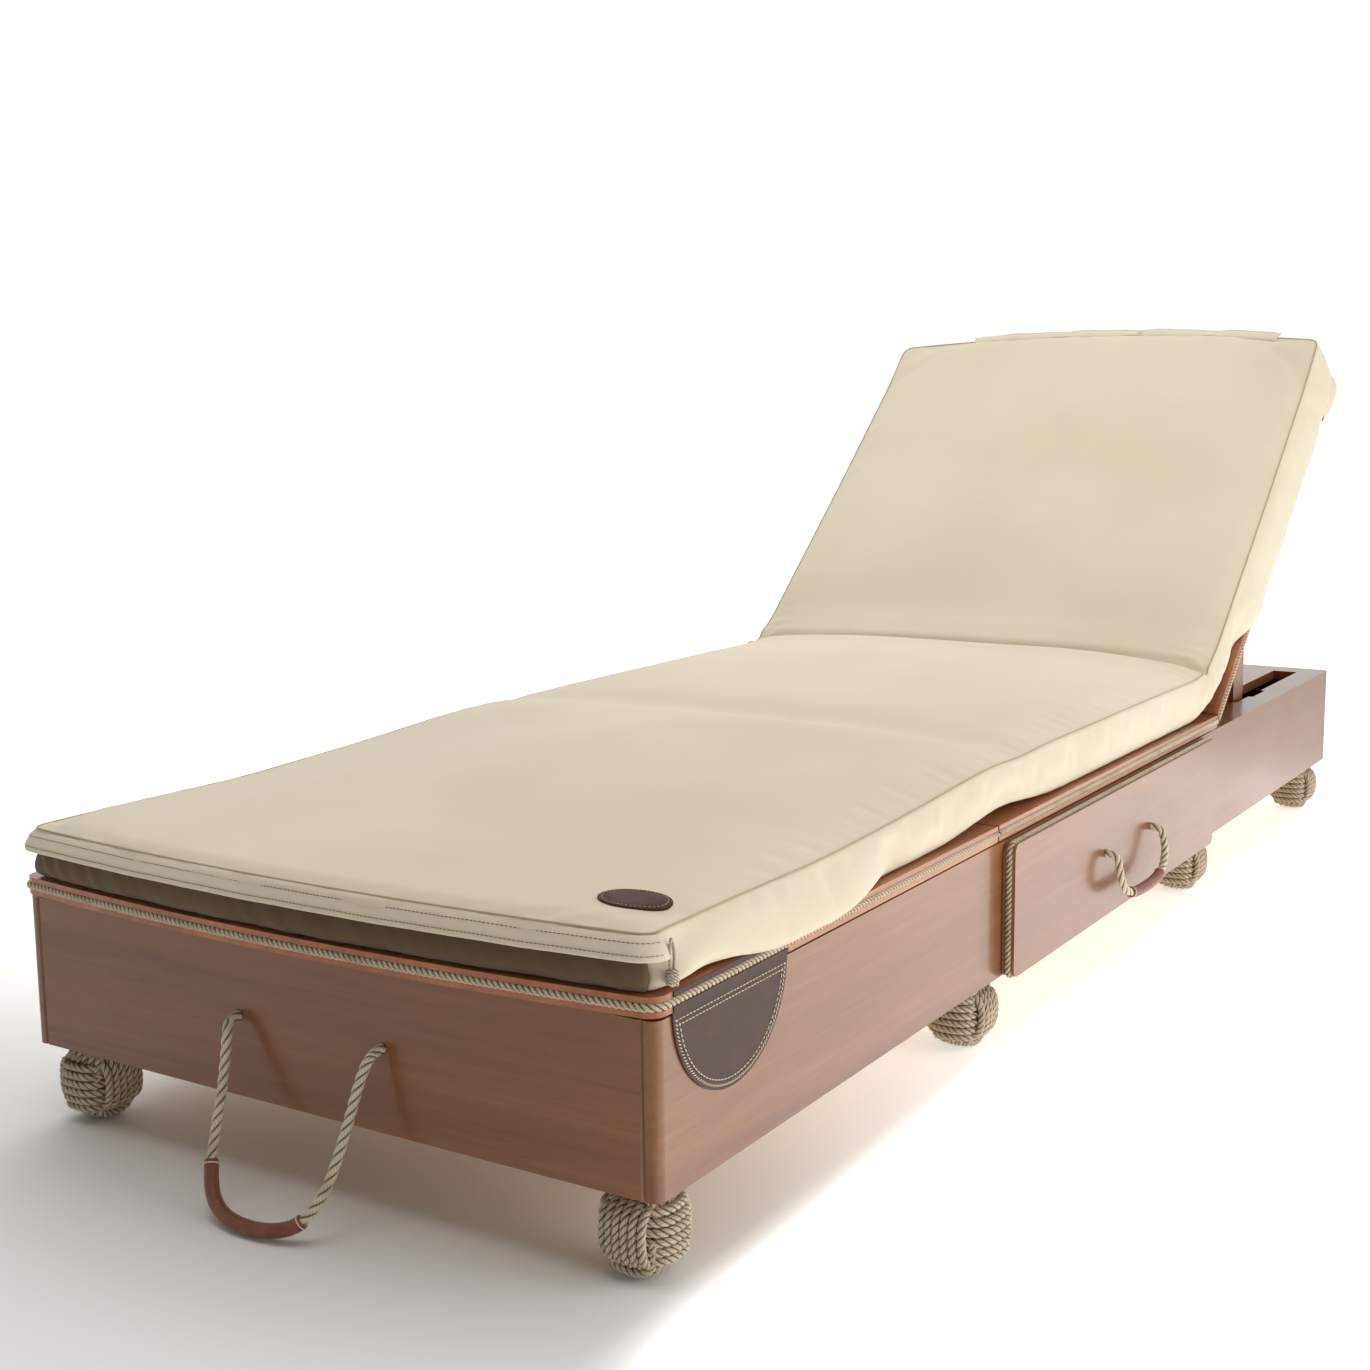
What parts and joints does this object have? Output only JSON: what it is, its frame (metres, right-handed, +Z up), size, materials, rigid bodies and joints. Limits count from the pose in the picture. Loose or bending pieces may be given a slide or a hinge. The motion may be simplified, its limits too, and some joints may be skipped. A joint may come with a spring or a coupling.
{
  "type": "sun lounger",
  "caption": "Wooden box sun lounger with a folding backrest on prop arms, a side drawer, rope trim and knot feet, rope pulls and thick canvas cushions.",
  "frame": {"origin": "middle of the footprint of the lounger without its rope pulls, on the floor", "axes": "+X to the side with the drawer, +Y from the foot end to the head end, +Z up"},
  "size_m": [0.8044, 2.1815, 0.8107],
  "materials": {
    "mahogany": "satin varnish",
    "deck_wood": "satin varnish",
    "inner_wood": "bare birch plywood",
    "edge_rope": "three-strand rope",
    "knot_rope": "three-strand rope",
    "pull_rope": "three-strand rope",
    "dark_leather": "grained, stitched",
    "tan_leather": "smooth, stitched",
    "canvas": "woven acrylic canvas",
    "tag": "woven",
    "hinge_metal": "brushed"
  },
  "bodies": {
    "box": {"front_board": "mahogany", "rear_board": "mahogany", "side_board_left": "mahogany", "side_board_right": "mahogany", "bottom_board": "inner_wood", "corner_blocks": "inner_wood", "cross_rails": "inner_wood", "deck_ledges": "inner_wood", "rear_deck": "mahogany", "foot_deck_panel": "deck_wood", "middle_deck_panel": "deck_wood", "foot_deck_rope": "edge_rope", "middle_deck_ropes": "edge_rope", "hinge_leaves_fixed": "hinge_metal", "hinge_pins": "hinge_metal", "prop_cradles": "inner_wood", "drawer_dividers": "inner_wood", "slides_fixed": "hinge_metal", "front_pull_rope": "pull_rope", "front_pull_sleeve": "tan_leather", "front_pull_knots": "pull_rope", "leather_flap": "dark_leather", "oval_patch": "tan_leather", "zip_flap": "canvas", "cushion_seat": "canvas", "foot_dowels": "inner_wood", "zip_pull": "pull_rope", "flap_edging": "dark_leather", "foot_knot_front_left": "knot_rope", "foot_knot_front_right": "knot_rope", "foot_knot_middle_left": "knot_rope", "foot_knot_middle_right": "knot_rope", "foot_knot_hinge_left": "knot_rope", "foot_knot_hinge_right": "knot_rope", "foot_knot_rear_left": "knot_rope", "foot_knot_rear_right": "knot_rope"},
    "backrest": {"backrest_panel": "deck_wood", "backrest_rope": "edge_rope", "hinge_leaves_moving": "hinge_metal", "prop_brackets": "hinge_metal", "prop_pins": "hinge_metal", "cushion_back": "canvas", "head_pocket": "canvas", "woven_tag": "tag"},
    "prop_arm_left": {"prop_arm_left": "mahogany"},
    "prop_arm_right": {"prop_arm_right": "mahogany"},
    "drawer": {"drawer_front": "mahogany", "drawer_front_rope": "edge_rope", "drawer_sides": "inner_wood", "drawer_back": "inner_wood", "drawer_bottom": "inner_wood", "slides_moving": "hinge_metal", "drawer_pull_rope": "pull_rope", "drawer_pull_sleeve": "tan_leather", "drawer_pull_knots": "pull_rope"}
  },
  "joints": [
    {"name": "backrest_tilt", "type": "hinge", "parent": "box", "child": "backrest", "pos_m": [-0.003, 0.4285, 0.238], "axis": [1, 0, 0], "range_deg": [-40.5, 0]},
    {"name": "prop_left_swing", "type": "hinge", "parent": "backrest", "child": "prop_arm_left", "pos_m": [-0.3185, 0.68937, 0.42529], "axis": [1, 0, 0], "range_deg": [0, 130.51]},
    {"name": "prop_right_swing", "type": "hinge", "parent": "backrest", "child": "prop_arm_right", "pos_m": [0.3125, 0.68937, 0.42529], "axis": [1, 0, 0], "range_deg": [0, 130.51]},
    {"name": "drawer_slide", "type": "slide", "parent": "box", "child": "drawer", "axis": [1, 0, 0], "range_m": [0, 0.45]}
  ],
  "couplings": [
    {"joint": "prop_left_swing", "follows": "backrest_tilt", "ratio": -3.2222},
    {"joint": "prop_right_swing", "follows": "backrest_tilt", "ratio": -3.2222}
  ]
}
